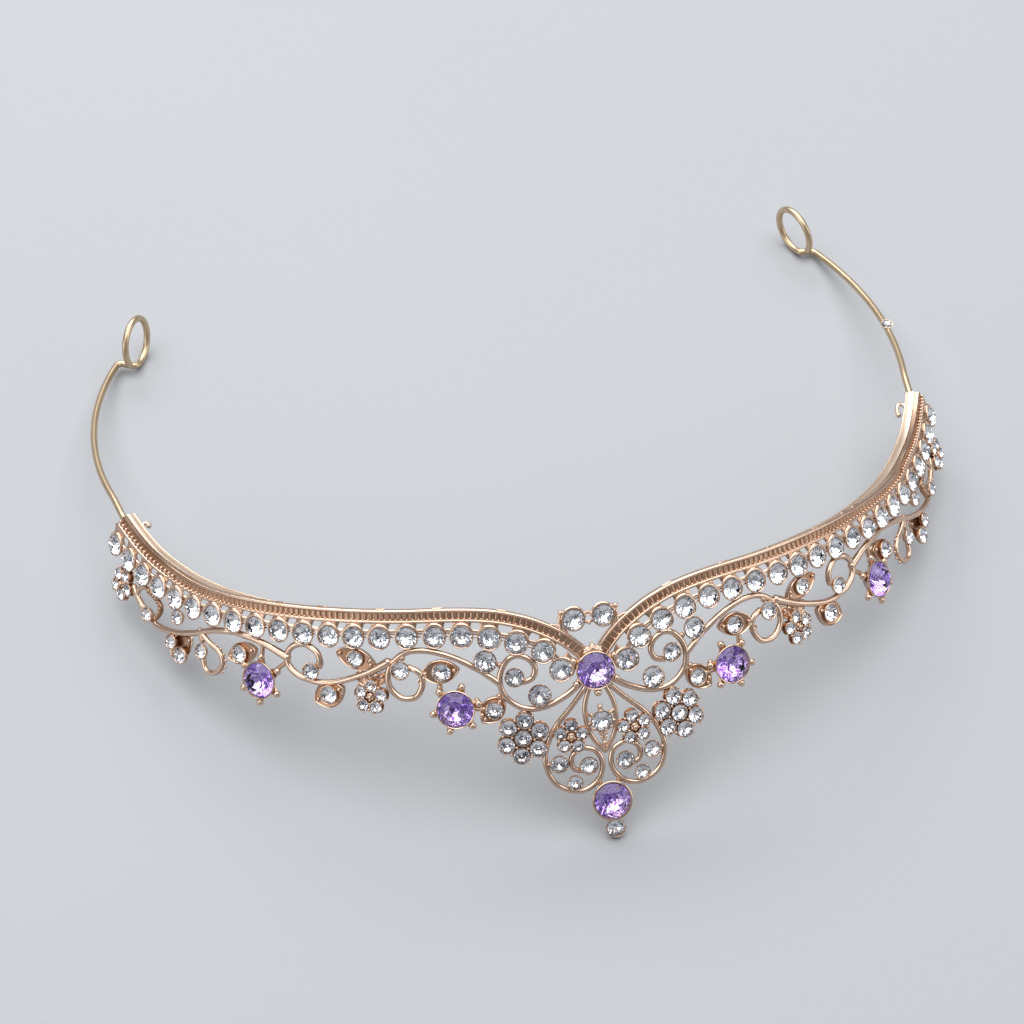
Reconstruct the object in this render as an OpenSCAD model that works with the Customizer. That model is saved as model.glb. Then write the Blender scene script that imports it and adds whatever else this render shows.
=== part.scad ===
// Crown headband: a cast openwork front bent round a cone, backing strips, wire arms with end loops, and set stones.
// It is modelled lying as it rests on a flat surface: on the tip of its centre pendant and on its two end loops.
//
// The front is laid out on a flat chart and then bent. Chart position [u, y], in mm:
//   u  runs along the piece from its centre line, positive to the right
//   y  runs up toward the band, zero on the line where the bend has its main radius
// sheet(u, y, w) bends the chart, with w the distance out of the sheet toward the wearer's front.

/* [Bend] */
// radius of the front's bend at y = 0
bend_r = 80; // [70:1:90]
// chart length of that arc on each side of the centre
bend_u = 70; // [60:1:80]
// radius of the flatter bend beyond it
side_r = 120; // [100:5:200]
// how far the front flares outward, in degrees
flare = 13.3; // [0:0.1:20]
// how far the piece leans when it lies on its pendant and loops, in degrees
lean = 26.8; // [20:0.1:35]

/* [Band and wire] */
// height of the ribbed band
band_h = 2.1; // [1.5:0.1:3]
// thickness of the band
band_t = 1.25; // [0.8:0.05:2]
// radius of the scroll and vine wires
wire_r = 0.46; // [0.3:0.01:0.7]
// radius of the arm wires
arm_r = 0.6; // [0.4:0.05:1]
// inner radius of the end loops
loop_r = 3.8; // [2:0.1:5]

/* [Stones] */
// radius of the white stones in the band's row
row_r = 1.7; // [1.2:0.05:2.2]
// radius of the violet stones
violet_r = 2.95; // [2:0.05:4]
// gap between a stone and its seat
gap = 0.08; // [0.05:0.01:0.2]

// which piece to draw

/* [Hidden] */
rose = [0.80, 0.60, 0.47];
gold = [0.80, 0.66, 0.48];
white = [0.90, 0.92, 0.95];
violet = [0.55, 0.42, 0.78];

// where the bent front stands: shift back and up, so the pendant's tip and the loops touch the floor
back_y = -52.8;
up_z = 12.9;

// ---- the bent sheet ----
function turn(u) = let(a = abs(u)) sign(u) * 180 / PI * (a < bend_u ? a / bend_r : bend_u / bend_r + (a - bend_u) / side_r);
turn_e = 180 / PI * bend_u / bend_r;
function across(u) = let(a = abs(u)) sign(u) * (a < bend_u ? bend_r * sin(turn(a))
    : bend_r * sin(turn_e) + side_r * (sin(turn(a)) - sin(turn_e)));
function behind(u) = let(a = abs(u)) a < bend_u ? bend_r * (1 - cos(turn(a)))
    : bend_r * (1 - cos(turn_e)) + side_r * (cos(turn_e) - cos(turn(a)));
// from the upright frame [x, back, up as worn] to the lying frame
function lie(p) = [p[0], p[1] * cos(lean) - p[2] * sin(lean), -p[1] * sin(lean) - p[2] * cos(lean)];
function along(u) = lie([cos(turn(u)), sin(turn(u)), 0]);
function outward(u) = lie([sin(turn(u)) * cos(flare), -cos(turn(u)) * cos(flare), -sin(flare)]);
function upward(u) = -lie([sin(turn(u)) * sin(flare), -cos(turn(u)) * sin(flare), cos(flare)]);
function sheet(u, y, w = 0) = lie([across(u), behind(u), 0]) + y * upward(u) + w * outward(u) + [0, back_y, up_z];

// puts its children at a chart position, x along the sheet, y up toward the band, z outward
module at(u, y, w = 0, spin = 0) {
    t = along(u); v = upward(u); n = outward(u); p = sheet(u, y, w);
    multmatrix([[t[0], v[0], n[0], p[0]], [t[1], v[1], n[1], p[1]], [t[2], v[2], n[2], p[2]]])
        rotate([0, 0, spin]) children();
}

// ---- curves on the chart ----
function ease(a, b, c, d, t) = 0.5 * ((2 * b) + (c - a) * t + (2 * a - 5 * b + 4 * c - d) * t * t + (3 * b - a - 3 * c + d) * t * t * t);
// a smooth line through points p, n steps between neighbours from point s on, and one step before it
function smooth(p, n, s = 0) = let(m = len(p) - 1) [for (i = [0 : m - 1], k = [0 : (i < s ? 0 : n - 1)])
    ease(p[max(i - 1, 0)], p[i], p[i + 1], p[min(i + 2, m)], k / n), p[m]];
function mirrored(p, side) = [for (q = p) [side * q[0], q[1]]];
function unit(a) = a / norm(a);

// carries a closed outline [[height, depth], ...] along points, with one outward direction a point
module carry(points, out, outline) {
    n = len(points); k = len(outline);
    pts = [for (i = [0 : n - 1]) let(t = unit(points[min(i + 1, n - 1)] - points[max(i - 1, 0)]),
        s = unit(cross(out[i], t)), o = cross(t, s)) for (q = outline) points[i] + q[0] * s + q[1] * o];
    sides = [for (i = [0 : n - 2], j = [0 : k - 1]) let(a = i * k + j, b = i * k + (j + 1) % k, c = a + k, d = b + k)
        each [[a, c, d], [a, d, b]]];
    polyhedron(points = pts, faces = concat([[for (j = [0 : k - 1]) j]], sides,
        [[for (j = [0 : k - 1]) n * k - 1 - j]]), convexity = 6);
}
function round_outline(r, k) = [for (j = [0 : k - 1]) r * [cos(360 * (j + 0.5) / k), sin(360 * (j + 0.5) / k)]];
// a wire along chart points
module wire(p, r = wire_r, w = 0, k = 5) {
    carry([for (q = p) sheet(q[0], q[1], w)], [for (q = p) outward(q[0])], round_outline(r, k));
}
// a straight bar between two chart points
module bar(a, b, r = 0.4, w = 0) { wire([a, b], r, w, 4); }

// ---- seats and stones ----
seat_t = 0.55;
// a round seat for a stone of radius r: it flares to a rim round the stone
module seat(u, y, r, depth = 0.5) {
    at(u, y, -depth, 22.5) cylinder(h = depth + seat_t, r1 = r - 0.15, r2 = r + 0.24, $fn = 8);
}
// a cut stone: flat back, eight or more crown facets and a table
module stone(u, y, r, k = 8, w = seat_t + gap) {
    ring = [for (z = [[1.03, 0], [0.6, 0.42]], j = [0 : k - 1])
        [z[0] * r * cos(360 * (j + 0.5) / k), z[0] * r * sin(360 * (j + 0.5) / k), z[1] * r]];
    at(u, y, w) polyhedron(points = ring, faces = concat([[for (j = [0 : k - 1]) j], [for (j = [0 : k - 1]) 2 * k - 1 - j]],
        [for (j = [0 : k - 1]) [j, j + k, (j + 1) % k + k, (j + 1) % k]]));
}
module stones(table, side) { for (s = table) stone(side * s[0], s[1], s[2]); }
module seats(table, side) { for (s = table) seat(side * s[0], s[1], s[2]); }
// a plate with n round lobes on a circle of radius d, for a flower or cluster of stones
module lobed(u, y, n, a, d, r, spread) {
    at(u, y, -0.5) linear_extrude(0.43 + seat_t) polygon([for (i = [0 : n - 1], b = [-spread, 0, spread])
        let(c = 360 * i / n + a) d * [cos(c), sin(c)] + r * [cos(c + b), sin(c + b)]]);
}
// a pointed leaf plate
module leaf(l, h) {
    linear_extrude(0.8) polygon([for (x = [-1 : 0.5 : 1]) [x * l, h * (1 - x * x)], for (x = [0.5 : -0.5 : -0.5]) [x * l, -h * (1 - x * x)]]);
}
// a violet stone's bezel, with ball prongs from angle a when a is given
violet_w = 0.9;
module bezel(u, y, a = -1) {
    at(u, y, -0.5) cylinder(h = 0.5 + violet_w, r1 = violet_r - 0.5, r2 = violet_r + 0.3, $fn = 12);
    if (a >= 0) at(u, y, -0.15, a) linear_extrude(0.85) polygon([for (i = [0 : 5], q = [[-30, 2.3], [-6, 4.2], [6, 4.2]])
        q[1] * [cos(60 * i + q[0]), sin(60 * i + q[0])]]);
}
module violet_stone(u, y) { stone(u, y, violet_r, 12, violet_w + gap); }

// ---- chart tables, for the right half; the left half is the same at -u ----
// middle line of the ribbed band: [u, y]
band_line = [[0.8, 13.9], [2.6, 15.9], [5, 18], [8.4, 20], [12, 21.5], [17, 22.7], [24, 23.2], [34, 23], [44, 22.8],
    [56, 22.5], [68, 22.3], [75, 22.6], [81, 23.6], [87, 25], [92, 26.8], [97, 29]];
// the row of stones: [u, y, radius]
row = [for (q = [[5.7, 12.6], [8.4, 15.9], [12.8, 17.8], [17.3, 18.9], [22, 19.5], [26.7, 19.6], [31.6, 19.5], [36.5, 19.3],
    [41.2, 19.2], [45.9, 19.1], [50.8, 19], [55.7, 18.9], [60.6, 18.8], [65.5, 18.8], [70.4, 18.9], [75.2, 19.1],
    [79.8, 19.7], [84.4, 20.5], [89, 21.5], [93.5, 22.9], [97.9, 24.5]]) [q[0], q[1], row_r]];
// single stones: [u, y, radius]
scroll_1 = [18.3, 15.2, 1.7];
scroll_2 = [13.6, 12.2, 1.4];
scroll_3 = [9.7, 8.8, 1.7];
leaf_1 = [17.4, 7, 1.3];
leaf_2 = [25.8, 13.7, 1.4];
leaf_3 = [41, 15.6, 1.25];
leaf_4 = [45.9, 9.2, 1.4];
leaf_5 = [63.9, 13.6, 1.35];
curl_1 = [33, 14, 1.4];
curl_2 = [49.3, 12.8, 1.3];
curl_3 = [72.7, 12.2, 1.15];
violet_1 = [23.8, 7.5];
violet_2 = [59.3, 10];
// groups of stones: [u, y, radius]
fan = [[7.7, -3, 1.3], [3, -3.9, 1.35], [5.5, -6.4, 1.1]];
vine_pair = [[78.9, 16.7, 1.15], [87, 15.1, 1.1]];
hanging_pair = [[77.7, 10.3, 1.3], [80.2, 12.1, 1.1]];
// six stones round one, 2.95 apart; five stones on a circle of 1.9
function hexagon(u, y) = concat([[u, y, 1.35]], [for (i = [0 : 5]) [u + 2.95 * cos(60 * i + 40), y + 2.95 * sin(60 * i + 40), 1.35]]);
function petals(u, y, a) = [for (i = [0 : 4]) [u + 1.9 * cos(72 * i + a), y + 1.9 * sin(72 * i + a), 1]];
seven = hexagon(13.1, 1.95);
five_1 = petals(5.3, 1.3, 96);
five_2 = petals(38.4, 9.4, 97);
five_3 = petals(95, 18.4, 54);
// wires: [u, y]
big_scroll = [[2, 10.6], [5.2, 8.3], [9.4, 6.7], [13, 7.1], [15.6, 9.4], [16.1, 12.4], [14.7, 15], [12, 15.6], [10.1, 14.2], [10.3, 12],
    [12.5, 11.4]];
vine_2 = [[16.1, 11.2], [19, 13.4], [23.2, 15.8], [28, 17.2], [32, 16.9], [34.8, 14.6], [35.2, 11.6], [33.2, 9.4], [30.6, 9.5],
    [29.3, 11.6], [29.8, 13.6], [31.6, 14.4]];
vine_3 = [[35, 15.3], [39.5, 13.1], [45.6, 11.2], [50.2, 11.3], [53.3, 12.7], [54.2, 14.8], [53, 16.6], [50.6, 17.1], [48.4, 16.1],
    [47.7, 14.3], [48.6, 13]];
vine_4 = [[54, 14.5], [59.2, 16.2], [64.6, 16.9], [70, 16.4], [75.4, 14.7], [80.3, 13.7], [85.3, 13.9], [89, 16], [92.2, 18.6]];
drop_curl = [[73.4, 15.4], [71.2, 14], [68.9, 13], [67.9, 11.2], [69.4, 9.2], [71.6, 9.1], [72.8, 11.4]];
fan_lobe = [[1.2, 10], [4.4, 6.5], [7.4, 3.5], [9.2, 0.6], [9.9, -2.5], [9, -5.7], [6.8, -7.5], [4, -7.9], [1.6, -6.4], [0.7, -3.9],
    [1.5, -1.7], [3.7, -0.9], [5.5, -2], [5.6, -3.9], [4.4, -4.6]];
almond = [[0.9, 9.8], [2.4, 6.2], [2.4, 2.8], [1.5, 0.1], [0, -1.9]];
// leaves under their stones: [u, y, half length, half width, angle of the long axis]
leaves = [[17.7, 7, 3, 2.1, 133], [26.2, 13.7, 3.5, 2.1, -6], [41, 15.6, 3.9, 1.9, 18], [46, 9.2, 3.2, 2.4, 152],
    [63.6, 13.7, 3.4, 2, -22], [78.5, 11.5, 3.6, 2.1, 141]];
// short joints that tie neighbours together: [u1, y1, u2, y2]
joints = [[12.6, 6.9, 12.6, 5.2], [38.6, 13.6, 38.3, 11.4], [59.3, 13.4, 59.2, 16.2], [54.1, 13.8, 56.6, 11.8], [8.4, -3, 9.8, -3],
    [1.7, -6.4, 1.2, -8.4], [72.9, 14, 73.6, 15.6], [21.2, 7.4, 19.2, 7.2], [26.1, 9.8, 26.4, 12.4]];

// ---- the cast front ----
module band_half(side) {
    outline = [[-0.5, -0.5], [0.5, -0.5], [0.5, 0.5], [0.3, 0.2], [-0.3, 0.2], [-0.5, 0.5]];
    p = smooth(mirrored(band_line, side), 2);
    carry([for (q = p) sheet(q[0], q[1], 0)], [for (q = p) outward(q[0])], [for (q = outline) [q[0] * band_h, q[1] * band_t]]);
}
module half(side) {
    band_half(side);
    // each seat of the row reaches up to the band with its own tab
    for (i = [0 : 20]) at(side * row[i][0], row[i][1], 0, side * (i < 1 ? 60 : i < 3 ? 30 : i > 16 ? 14 : 4)) hull() {
        rotate([0, 0, 22.5]) translate([0, 0, -0.5]) cylinder(h = 0.5 + seat_t, r1 = row_r - 0.15, r2 = row_r + 0.24, $fn = 8);
        translate([-0.6, i < 19 ? 2.9 : 3.6, -0.45]) cube([1.2, 0.1, 0.55]);
    }
    for (s = [scroll_1, scroll_2, scroll_3, leaf_1, leaf_2, leaf_3, leaf_4, leaf_5, curl_1, curl_2, curl_3])
        seat(side * s[0], s[1], s[2]);
    seats(fan, side);
    seats(vine_pair, side);
    seats(hanging_pair, side);
    lobed(side * 13.1, 1.95, 6, side > 0 ? 40 : 20, 2.95, 1.6, 45);
    for (f = [[5.3, 1.3, 96], [38.4, 9.4, 97], [95, 18.4, 54]])
        lobed(side * f[0], f[1], 5, side > 0 ? f[2] : 180 - f[2], 1.9, 1.25, 60);
    for (line = [big_scroll, vine_2, vine_3, drop_curl, fan_lobe]) wire(smooth(mirrored(line, side), 2, 3));
    wire(mirrored(vine_4, side));
    wire(mirrored([[3.2, 20.9], [5, 21.9], [5.4, 20.2], [5.4, 18.6]], side), 0.42, 0, 4);
    wire(smooth(mirrored(almond, side), 2), 0.4, 0, 4);
    for (l = leaves) at(side * l[0], l[1], -0.5, side > 0 ? l[4] : 180 - l[4]) leaf(l[2], l[3]);
    for (j = joints) bar([side * j[0], j[1]], [side * j[2], j[3]]);
    bezel(side * violet_1[0], violet_1[1], side > 0 ? 48 : 12);
    bezel(side * violet_2[0], violet_2[1], 30);
}
module frame() color(rose) {
    half(-1);
    half(1);
    bezel(0, 11.8, 30);
    bezel(0, -10.2);
    seat(0, 3.2, 1.55);
    // the drop's deep seat is the point the front rests on
    seat(0, -14.9, 1.4, 0.96);
    seat(-2.6, 20.6, 1.65);
    seat(2.6, 20.6, 1.65);
    // little claws over and under the marquise stone, and the joint to the drop stone
    bar([0, 5.9], [0, 4.6], 0.5, 0.2);
    bar([0, -1.6], [0, 1.9], 0.45);
    bar([0, -12.8], [0, -13.8], 0.5);
}

// ---- backing strips ----
// a ribbon on edge behind the band: offset of its middle above the band's, [u, offset], and its depth behind the sheet
strip_rise = [[14, 0], [58, 0], [66, 0.3], [72, 0.7], [97, 0.7]];
strip_w = -1.5;
module strip(side) color(gold) {
    p = [for (q = band_line) if (q[0] > 14) [side * q[0], q[1] + lookup(q[0], strip_rise)]];
    carry([for (q = p) sheet(q[0], q[1], strip_w)], [for (q = p) outward(q[0])],
        [[-0.45, -0.8], [0.45, -0.8], [0.45, 0.8], [-0.45, 0.8]]);
    // the small hook near the end, with a ball on its tip
    hook = [[93.9, 28.5, -2.1], [94.1, 29, -2.8], [93.5, 29.2, -3.3], [92.7, 28.6, -3.5], [92.2, 27.8, -3.3]];
    tip = hook[len(hook) - 1];
    carry([for (q = hook) sheet(side * q[0], q[1], q[2])], [for (q = hook) along(side * q[0])], round_outline(0.35, 5));
    at(side * tip[0], tip[1], tip[2]) sphere(r = 0.5, $fn = 8);
}

// ---- wire arms ----
arm_slope = 14.2;
arc_y = 80;
// depth of each wire's held end, which lies behind the band and under its strip
arm_w = -1.5;
function arm_z(y) = 12.56 - (y - 62.8) * tan(arm_slope);
// a point of an arm's long arc of radius r about x = cx, at angle t
function arc_point(r, cx, t) = let(y = arc_y + r * sin(t) * cos(arm_slope)) [cx + r * cos(t), y + back_y + 1, arm_z(y)];
// a round bar from a to b
module link_bar(a, b) {
    d = b - a;
    translate(a) rotate([0, acos(d[2] / norm(d)), atan2(d[1], d[0])]) cylinder(h = norm(d), r = arm_r, $fn = 24);
}
// an arm of the right side: the held end, one long arc of radius r about x = cx that ends reach behind its middle,
// a short kink, and the upright loop with its centre at [lx, ly], turned by a and leaning outward by tip
module arm(r, cx, reach, lx, ly, a, tip) color(gold) {
    rc = loop_r + arm_r;
    t0 = -asin(13 / r);
    t1 = asin(reach / r);
    held = sheet(90, 25.3, arm_w);
    bend = sheet(98.2, 28.9, arm_w);
    centre = [lx, ly + back_y + 1, rc * cos(tip) + arm_r];
    loop_start = centre + rc * (cos(128) * [-sin(a), cos(a), 0] - sin(128) * [cos(a) * sin(tip), sin(a) * sin(tip), cos(tip)]);
    link_bar(held, bend);
    link_bar(bend, arc_point(r, cx, t0));
    link_bar(arc_point(r, cx, t1), loop_start);
    // the wire is a little thicker at each bend
    for (q = [bend, arc_point(r, cx, t0), arc_point(r, cx, t1), loop_start]) translate(q) sphere(r = arm_r + 0.1, $fn = 24);
    translate([cx, arc_y + back_y + 1, arm_z(arc_y)]) rotate([-arm_slope, 0, 0]) rotate([0, 0, t0])
        rotate_extrude(angle = t1 - t0, $fn = 96) translate([r, 0]) circle(r = arm_r, $fn = 24);
    translate(centre) rotate([90 + tip, 0, 90 + a]) rotate([0, 0, -128])
        rotate_extrude(angle = 330, $fn = 48) translate([rc, 0]) circle(r = arm_r, $fn = 24);
}

// ---- the pieces ----
module strip_left() strip(-1);
module strip_right() strip(1);
module arm_left() mirror([1, 0, 0]) arm(57.5, 14.9, 28.2, 61.45, 108.1, 30.5, 10);
module arm_right() arm(77, -6.3, 30.6, 61.2, 111, 24.3, 0);
module row_left() color(white) stones(row, -1);
module row_right() color(white) stones(row, 1);
module stone_main() color(violet) violet_stone(0, 11.8);
module stone_pendant() color(violet) violet_stone(0, -10.2);
module marquise_stone() color(white) stone(0, 3.2, 1.55);
module drop_stone() color(white) stone(0, -14.9, 1.4);
module top_stones() color(white) for (s = [-1, 1]) stone(s * 2.6, 20.6, 1.65);
module violet_1_left() color(violet) violet_stone(-violet_1[0], violet_1[1]);
module violet_1_right() color(violet) violet_stone(violet_1[0], violet_1[1]);
module violet_2_left() color(violet) violet_stone(-violet_2[0], violet_2[1]);
module violet_2_right() color(violet) violet_stone(violet_2[0], violet_2[1]);
module scroll_stone_1_left() color(white) stones([scroll_1], -1);
module scroll_stone_1_right() color(white) stones([scroll_1], 1);
module scroll_stone_2_left() color(white) stones([scroll_2], -1);
module scroll_stone_2_right() color(white) stones([scroll_2], 1);
module scroll_stone_3_left() color(white) stones([scroll_3], -1);
module scroll_stone_3_right() color(white) stones([scroll_3], 1);
module leaf_stone_1_left() color(white) stones([leaf_1], -1);
module leaf_stone_1_right() color(white) stones([leaf_1], 1);
module leaf_stone_2_left() color(white) stones([leaf_2], -1);
module leaf_stone_2_right() color(white) stones([leaf_2], 1);
module leaf_stone_3_left() color(white) stones([leaf_3], -1);
module leaf_stone_3_right() color(white) stones([leaf_3], 1);
module leaf_stone_4_left() color(white) stones([leaf_4], -1);
module leaf_stone_4_right() color(white) stones([leaf_4], 1);
module leaf_stone_5_left() color(white) stones([leaf_5], -1);
module leaf_stone_5_right() color(white) stones([leaf_5], 1);
module curl_stone_1_left() color(white) stones([curl_1], -1);
module curl_stone_1_right() color(white) stones([curl_1], 1);
module curl_stone_2_left() color(white) stones([curl_2], -1);
module curl_stone_2_right() color(white) stones([curl_2], 1);
module curl_stone_3_left() color(white) stones([curl_3], -1);
module curl_stone_3_right() color(white) stones([curl_3], 1);
module fan_stones_left() color(white) stones(fan, -1);
module fan_stones_right() color(white) stones(fan, 1);
module cluster_left() color(white) stones(seven, -1);
module cluster_right() color(white) stones(seven, 1);
module flower_1_left() color(white) stones(five_1, -1);
module flower_1_right() color(white) stones(five_1, 1);
module flower_2_left() color(white) stones(five_2, -1);
module flower_2_right() color(white) stones(five_2, 1);
module flower_3_left() color(white) stones(five_3, -1);
module flower_3_right() color(white) stones(five_3, 1);
module vine_stones_left() color(white) stones(vine_pair, -1);
module vine_stones_right() color(white) stones(vine_pair, 1);
module leaf_pair_left() color(white) stones(hanging_pair, -1);
module leaf_pair_right() color(white) stones(hanging_pair, 1);
// the tiny stone sits on top of the right wire
module arm_stone() color(white) translate(arc_point(77, -6.3, 1.6)) rotate([-arm_slope, 0, 0]) translate([0, 0, arm_r + gap])
    cylinder(h = 0.6, r1 = 0.95, r2 = 0.6, $fn = 8);

frame();
strip_left();
strip_right();
arm_left();
arm_right();
row_left();
row_right();
stone_main();
stone_pendant();
marquise_stone();
drop_stone();
top_stones();
violet_1_left();
violet_1_right();
violet_2_left();
violet_2_right();
scroll_stone_1_left();
scroll_stone_1_right();
scroll_stone_2_left();
scroll_stone_2_right();
scroll_stone_3_left();
scroll_stone_3_right();
leaf_stone_1_left();
leaf_stone_1_right();
leaf_stone_2_left();
leaf_stone_2_right();
leaf_stone_3_left();
leaf_stone_3_right();
leaf_stone_4_left();
leaf_stone_4_right();
leaf_stone_5_left();
leaf_stone_5_right();
curl_stone_1_left();
curl_stone_1_right();
curl_stone_2_left();
curl_stone_2_right();
curl_stone_3_left();
curl_stone_3_right();
fan_stones_left();
fan_stones_right();
cluster_left();
cluster_right();
flower_1_left();
flower_1_right();
flower_2_left();
flower_2_right();
flower_3_left();
flower_3_right();
vine_stones_left();
vine_stones_right();
leaf_pair_left();
leaf_pair_right();
arm_stone();
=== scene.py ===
# A crown headband lying on a pale floor: its cast openwork front, set stones, backing strips and wire arms.
import math
import bpy
import numpy as np
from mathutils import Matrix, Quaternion, Vector


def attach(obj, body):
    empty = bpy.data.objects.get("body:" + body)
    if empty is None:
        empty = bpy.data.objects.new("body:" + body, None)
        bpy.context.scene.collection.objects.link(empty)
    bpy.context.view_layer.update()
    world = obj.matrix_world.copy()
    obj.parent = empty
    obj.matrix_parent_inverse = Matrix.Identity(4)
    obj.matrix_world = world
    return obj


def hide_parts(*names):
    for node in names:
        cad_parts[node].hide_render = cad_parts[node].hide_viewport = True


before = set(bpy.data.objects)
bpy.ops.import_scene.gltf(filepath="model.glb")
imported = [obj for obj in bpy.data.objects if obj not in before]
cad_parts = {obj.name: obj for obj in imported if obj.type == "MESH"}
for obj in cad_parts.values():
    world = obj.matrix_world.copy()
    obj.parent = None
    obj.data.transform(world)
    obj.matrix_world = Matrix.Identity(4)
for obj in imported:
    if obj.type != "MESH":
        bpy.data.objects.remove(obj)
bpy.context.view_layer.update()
chance = np.random.default_rng(7)

# every piece is laid out flat on a chart, at [u, y] in mm, and then bent round a cone
bend = {"radius": 80, "reach": 70, "sideRadius": 120, "flare": 13.3, "lean": 26.8,
        "back": -52.8, "up": 12.9}


def unit(vectors):
    # each vector over its own length
    return vectors / np.maximum(np.linalg.norm(vectors, axis=-1, keepdims=True), 1e-12)


def cosSin(degrees):
    return math.cos(math.radians(degrees)), math.sin(math.radians(degrees))


def turnOf(u):
    # angle = arc length over radius, with the flatter radius past the reach
    run = np.abs(u)
    far = bend["reach"] / bend["radius"] + (run - bend["reach"]) / bend["sideRadius"]
    return np.sign(u) * np.where(run < bend["reach"], run / bend["radius"], far)


def lie(x, back, up):
    # tips the upright piece over by the lean, so that it rests on its pendant and loops
    c, s = cosSin(bend["lean"])
    return np.stack(np.broadcast_arrays(x, back * c - up * s, -back * s - up * c), -1)


def along(u):
    # the way that u grows, (cos t, sin t, 0) before the lean
    t = turnOf(u)
    return lie(np.cos(t), np.sin(t), 0 * t)


def outward(u):
    # straight out of the sheet, (sin t cos f, -cos t cos f, -sin f) before the lean
    t, (c, s) = turnOf(u), cosSin(bend["flare"])
    return lie(np.sin(t) * c, -np.cos(t) * c, 0 * t - s)


def upward(u):
    # up the sheet toward the band, (-sin t sin f, cos t sin f, -cos f) before the lean
    t, (c, s) = turnOf(u), cosSin(bend["flare"])
    return -lie(np.sin(t) * s, -np.cos(t) * s, 0 * t + c)


def sheet(u, y, w=0):
    # place = arc at y = 0, plus y along the slope and w straight out of the sheet
    u, y, w = np.broadcast_arrays(*(np.asarray(value, float) for value in (u, y, w)))
    t, near = turnOf(u), np.abs(u) < bend["reach"]
    r, big = bend["radius"], bend["sideRadius"]
    edge, sine = bend["reach"] / r, np.sin(np.abs(t))
    across = np.where(near, r * sine, r * math.sin(edge) + big * (sine - math.sin(edge)))
    behind = np.where(near, r * (1 - np.cos(t)),
                      r * (1 - math.cos(edge)) + big * (math.cos(edge) - np.cos(t)))
    flat = lie(np.sign(u) * across, behind, 0 * t) + y[..., None] * upward(u) + w[..., None] * outward(u)
    return flat + np.array([0, bend["back"], bend["up"]])


def spot(u, y, local):
    # local [x, y, z] set down at chart place [u, y]: x along the sheet, y toward the band, z outward
    return sheet(u, y) + local[..., :1] * along(u) + local[..., 1:2] * upward(u) + local[..., 2:] * outward(u)


def smooth(points, steps=8):
    # a curve through the points, between b and c it is half of
    # 2b + (c - a)t + (2a - 5b + 4c - d)t^2 + (3b - a - 3c + d)t^3
    p = np.asarray(points, float)
    p = np.vstack([p[:1], p, p[-1:]])
    t = (np.arange(steps) / steps)[None, :, None]
    a, b, c, d = (p[k:len(p) - 3 + k, None] for k in range(4))
    curve = 0.5 * (2 * b + (c - a) * t + (2 * a - 5 * b + 4 * c - d) * t ** 2
                   + (3 * b - a - 3 * c + d) * t ** 3)
    return np.vstack([curve.reshape(-1, p.shape[1]), p[-1:]])


def lengthAlong(path):
    # length of the path from its start to each of its points
    return np.concatenate([[0], np.cumsum(np.linalg.norm(np.diff(path, axis=0), axis=1))])


def even(points, step):
    # the same curve with its points a fixed step apart
    run = lengthAlong(points)
    at = np.linspace(0, run[-1], max(int(round(run[-1] / step)), 1) + 1)
    return np.stack([np.interp(at, run, points[:, k]) for k in range(points.shape[1])], -1)


def eased(values, reach):
    # each value becomes the mean of those up to reach places away, with the ends held
    padded = np.concatenate([np.repeat(values[:1], reach, 0), values, np.repeat(values[-1:], reach, 0)])
    return np.mean([padded[k:len(values) + k] for k in range(2 * reach + 1)], axis=0)


def mirrored(points, side):
    # the right half's chart points for side 1, and the left half's for side -1
    p = np.array(points, float)
    p[..., 0] *= side
    return p


def mirroredAngle(angle, side):
    return angle if side > 0 else 180 - angle


def onCircle(angles):
    # (cos a, sin a) of each angle
    return np.stack([np.cos(angles), np.sin(angles)], -1)


def circle(count, radius=1, start=0):
    # point k stands at angle 2 pi (k + start) / count
    return radius * onCircle(2 * math.pi * (np.arange(count) + start) / count)


def put(name, data, place=None, turn=None):
    # an object of this data, moved and turned where it is a lamp or the camera
    made = bpy.data.objects.new(name, data)
    bpy.context.scene.collection.objects.link(made)
    if place:
        made.location, made.rotation_mode, made.rotation_quaternion = place, "QUATERNION", turn
    return made


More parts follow.
